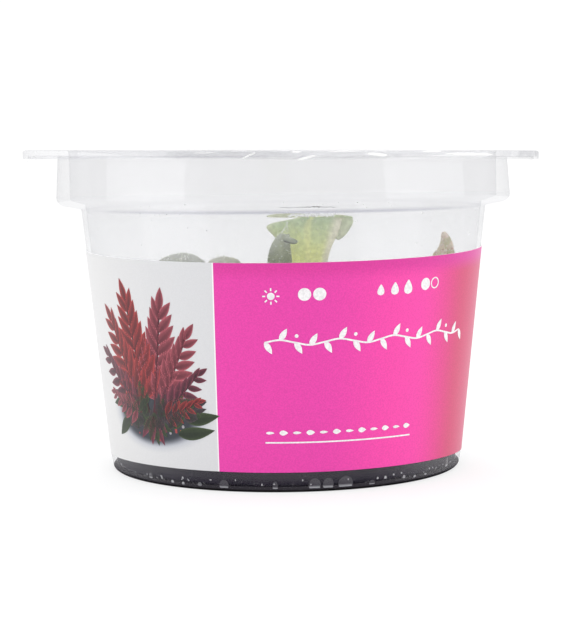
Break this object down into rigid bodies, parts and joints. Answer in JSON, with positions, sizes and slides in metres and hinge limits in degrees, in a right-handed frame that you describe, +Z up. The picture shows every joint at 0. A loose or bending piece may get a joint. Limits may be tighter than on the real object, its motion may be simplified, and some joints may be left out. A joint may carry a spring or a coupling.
{
  "type": "butterwort plantlets in a sealed culture cup",
  "caption": "Clear tapered cup with a stepped collar and sealing flange, a wrinkled film cover and a wrap label, holding butterwort rosettes on dark gel.",
  "frame": {"origin": "centre of the cup's foot, on the surface that it stands on", "axes": "+Z up along the cup's axis; the printed front of the label faces -Y"},
  "size_m": [0.095, 0.095, 0.0588],
  "materials": {
    "clear_cup": "clear moulded plastic, slightly milky, glossy",
    "clear_film": "clear thin film, wrinkled and glossy",
    "printed_label": "smooth coated print, half gloss",
    "dark_gel": "wet dark gel with pale bubbles",
    "leaf": "soft dewy leaf, yellow-green, let through by light",
    "leaf_olive": "soft dewy leaf, olive with a brown tinge"
  },
  "bodies": {
    "root": {"cup": "clear_cup", "sealing_film": "clear_film", "label": "printed_label", "culture_gel": "dark_gel", "plantlet_centre": "leaf", "plantlet_left": "leaf", "plantlet_right": "leaf_olive", "plantlet_back_left": "leaf", "plantlet_back_right": "leaf"}
  },
  "joints": []
}
